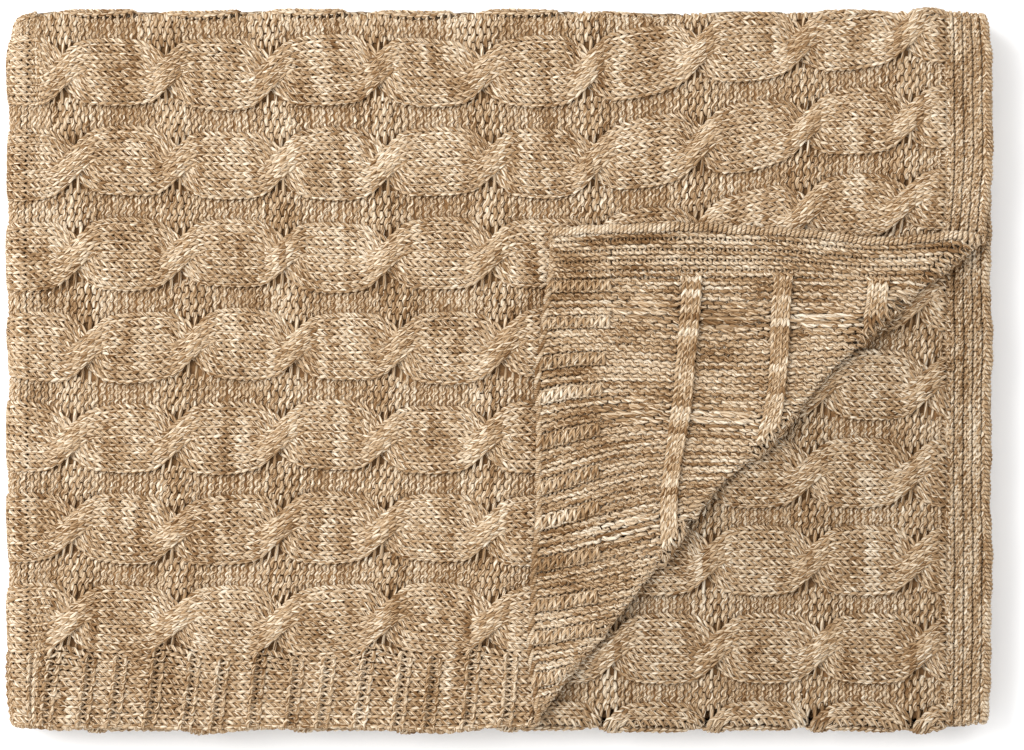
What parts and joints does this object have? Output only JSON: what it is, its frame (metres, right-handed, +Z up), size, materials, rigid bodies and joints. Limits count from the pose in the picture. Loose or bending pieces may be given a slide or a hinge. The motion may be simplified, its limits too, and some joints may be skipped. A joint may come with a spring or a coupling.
{
  "type": "folded throw blanket",
  "caption": "Cable-knit throw blanket folded into a flat rectangle, with the front corner of its top layer turned back.",
  "frame": {"origin": "centre of the folded footprint, on the surface it lies on", "axes": "+X from the left fold to the garter end, +Y from the front fold to the back fold, +Z up"},
  "size_m": [0.595, 0.4352, 0.0437],
  "materials": {
    "cable_knit": "matt marled cable knit, right side",
    "knit_wrong_side": "matt marled cable knit, wrong side",
    "garter_end": "matt garter stitch",
    "side_border": "matt ribbed stockinette border",
    "knit_fold": "matt cable knit round a fold"
  },
  "bodies": {
    "bottom_strip": {"low_far_panel": "cable_knit", "low_near_panel": "cable_knit", "low_centre_panel": "cable_knit", "low_back_fold": "knit_fold", "low_front_fold": "knit_fold", "low_far_border": "side_border", "low_near_border": "side_border", "low_far_garter": "garter_end", "low_near_garter": "garter_end", "low_centre_garter": "garter_end", "right_far_bend": "knit_fold", "right_near_bend": "knit_fold", "right_centre_bend": "knit_fold", "right_back_turn": "knit_fold", "right_front_turn": "knit_fold"},
    "middle_strip": {"mid_far_panel": "cable_knit", "mid_near_panel": "cable_knit", "mid_centre_panel": "cable_knit", "mid_back_fold": "knit_fold", "mid_front_fold": "knit_fold", "mid_far_border": "side_border", "mid_near_border": "side_border", "left_far_bend": "knit_fold", "left_near_bend": "knit_fold", "left_centre_bend": "knit_fold", "left_back_turn": "knit_fold", "left_front_turn": "knit_fold"},
    "top_strip": {"top_far_panel": "cable_knit", "top_near_panel": "cable_knit", "top_centre_panel": "cable_knit", "top_back_fold": "knit_fold", "top_front_fold": "knit_fold", "top_far_border": "side_border", "top_near_border": "side_border", "top_far_garter": "garter_end", "top_near_garter": "garter_end", "top_centre_garter": "garter_end", "crease_bend": "knit_fold"},
    "corner_turn_back": {"corner_flap": "knit_wrong_side", "corner_garter": "garter_end", "corner_border": "side_border"}
  },
  "joints": [
    {"name": "right_fold", "type": "hinge", "parent": "bottom_strip", "child": "middle_strip", "pos_m": [0.28445, 0, 0.01305], "axis": [0, 1, 0], "range_deg": [0, 179.9], "deforming": ["right_far_bend", "right_near_bend", "right_centre_bend", "right_back_turn", "right_front_turn"]},
    {"name": "left_fold", "type": "hinge", "parent": "middle_strip", "child": "top_strip", "pos_m": [-0.28445, 0, 0.02625], "axis": [0, -1, 0], "range_deg": [0, 179.9], "deforming": ["left_far_bend", "left_near_bend", "left_centre_bend", "left_back_turn", "left_front_turn"]},
    {"name": "corner_turn", "type": "hinge", "parent": "top_strip", "child": "corner_turn_back", "pos_m": [0.1506, -0.0589, 0.03945], "axis": [0.6769, 0.7361, 0], "range_deg": [0, 179.9], "deforming": ["crease_bend"]}
  ]
}
